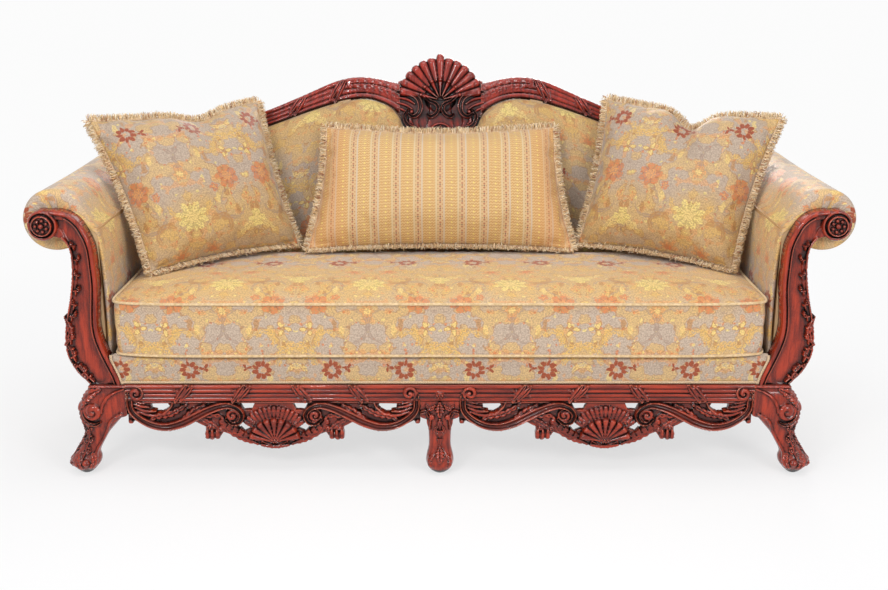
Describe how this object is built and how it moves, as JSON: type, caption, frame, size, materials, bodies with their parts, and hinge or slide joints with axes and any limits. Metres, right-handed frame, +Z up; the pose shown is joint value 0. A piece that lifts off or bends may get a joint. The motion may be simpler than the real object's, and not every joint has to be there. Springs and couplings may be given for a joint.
{
  "type": "cabriole sofa",
  "caption": "Cabriole sofa with a carved show-wood frame, scrolled arms, a loose seat cushion and loose fringed pillows.",
  "frame": {"origin": "on the floor, under the middle of the sofa", "axes": "+X along the sofa to the viewer's right, +Y from the front to the back, +Z up"},
  "size_m": [2.2596, 0.8799, 1.1159],
  "materials": {
    "show_wood": "polished, with dark wax in the carving",
    "dark_carving": "polished, darker than the rails",
    "frame_wood": "sawn and planed, unfinished",
    "brocade": "woven floral, satin",
    "striped_brocade": "woven stripes, satin",
    "welt_cord": "fabric-covered cord",
    "gimp": "woven braid",
    "fringe": "cut brush fringe",
    "webbing": "plain weave",
    "deck_cloth": "plain weave over padding",
    "dust_cloth": "thin non-woven cloth",
    "spring_steel": "bright drawn wire",
    "screw_steel": "zinc plated",
    "glide_plastic": "moulded"
  },
  "bodies": {
    "frame": {"front_rail": "show_wood", "seat_front_beam": "frame_wood", "side_rail_left": "show_wood", "side_rail_right": "show_wood", "rear_rail": "frame_wood", "seat_braces": "frame_wood", "corner_blocks": "frame_wood", "corner_screws": "screw_steel", "dust_cover": "dust_cloth", "front_leg_left": "show_wood", "front_leg_right": "show_wood", "centre_leg": "show_wood", "rear_leg_left": "show_wood", "rear_leg_right": "show_wood", "foot_glides": "glide_plastic", "apron_left": "show_wood", "apron_right": "show_wood", "arm_frame_left": "frame_wood", "arm_frame_right": "frame_wood", "arm_facing_left": "show_wood", "arm_facing_right": "show_wood", "arm_rosette_left": "dark_carving", "arm_rosette_right": "dark_carving", "arm_pad_left": "brocade", "arm_pad_right": "brocade", "outside_arm_left": "brocade", "outside_arm_right": "brocade", "back_post_left": "frame_wood", "back_post_right": "frame_wood", "back_uprights": "frame_wood", "back_stretcher": "frame_wood", "back_webbing": "webbing", "top_rail_left": "show_wood", "top_rail_right": "show_wood", "crest_shell": "dark_carving", "crest_medallion": "dark_carving", "back_pad": "brocade", "outside_back": "brocade", "seat_springs": "spring_steel", "spring_clips": "spring_steel", "seat_deck": "deck_cloth", "front_border": "brocade", "rail_gimp": "gimp"},
    "seat_cushion": {"seat_cushion": "brocade", "cushion_welts": "welt_cord"},
    "pillow_left": {"pillow_left": "brocade", "fringe_left": "fringe"},
    "pillow_right": {"pillow_right": "brocade", "fringe_right": "fringe"},
    "pillow_lumbar": {"pillow_lumbar": "striped_brocade", "fringe_lumbar": "fringe"}
  },
  "joints": [
    {"name": "cushion_lift", "type": "slide", "parent": "frame", "child": "seat_cushion", "axis": [0, 0, 1], "range_m": [0, 0.5]},
    {"name": "left_pillow_lift", "type": "slide", "parent": "seat_cushion", "child": "pillow_left", "axis": [0, 0, 1], "range_m": [0, 0.5]},
    {"name": "right_pillow_lift", "type": "slide", "parent": "seat_cushion", "child": "pillow_right", "axis": [0, 0, 1], "range_m": [0, 0.5]},
    {"name": "lumbar_pillow_lift", "type": "slide", "parent": "seat_cushion", "child": "pillow_lumbar", "axis": [0, 0, 1], "range_m": [0, 0.5]}
  ]
}
